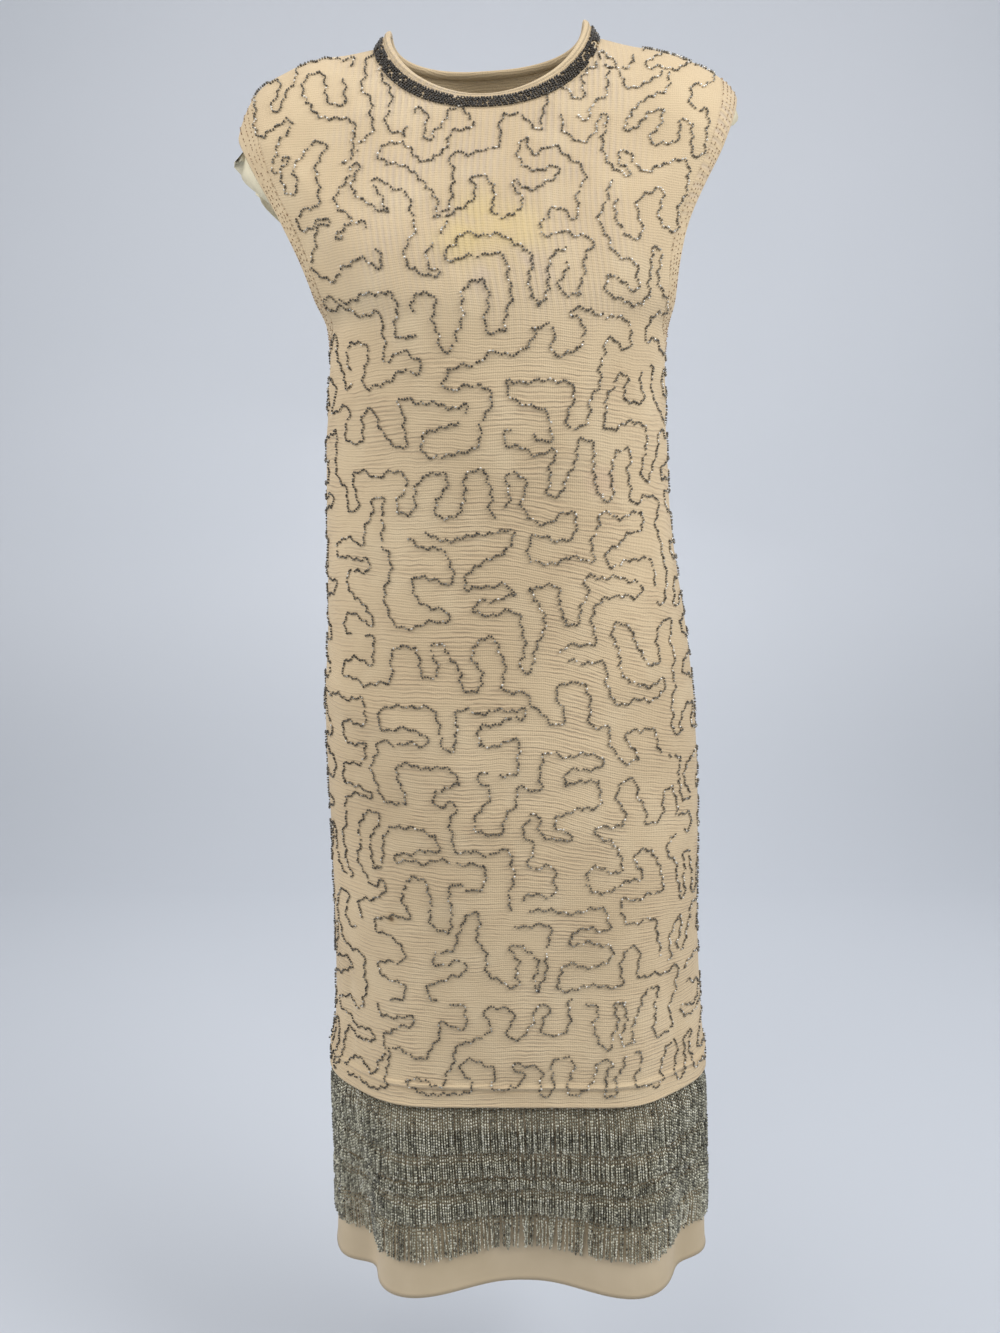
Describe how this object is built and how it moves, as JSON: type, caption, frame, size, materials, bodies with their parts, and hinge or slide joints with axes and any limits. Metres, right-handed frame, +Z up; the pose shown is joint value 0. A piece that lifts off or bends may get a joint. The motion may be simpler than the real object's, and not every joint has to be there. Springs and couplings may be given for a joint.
{
  "type": "beaded fringe shift dress",
  "caption": "Sleeveless knit shift dress with meandering bead lines, a beaded round neck and rows of bead fringe over an underskirt.",
  "frame": {"origin": "middle of the shoulder line, level with the shoulder seams at the neck, where a wearer carries the dress", "axes": "+Z up along the body, the front of the dress faces -Y, +X to the right of someone who looks at the front"},
  "size_m": [0.4345, 0.2018, 1.1384],
  "materials": {
    "knit": "cream wool knit with fine cross ridges and lines of small dark beads",
    "lining": "pale yellow-green silk",
    "crepe": "plain tan crepe",
    "beads": "lustrous gunmetal, bronze and silver-lined seed beads"
  },
  "bodies": {
    "root": {"front": "knit", "back": "knit", "lining_front": "lining", "lining_back": "lining", "armhole_band_left": "knit", "armhole_band_right": "knit", "neck_bead_band": "beads", "neck_binding": "knit", "underskirt_front": "crepe", "underskirt_back": "crepe", "fringe_row_1": "beads", "fringe_row_2": "beads", "fringe_row_3": "beads", "fringe_row_4": "beads", "fringe_row_5": "beads"}
  },
  "joints": []
}
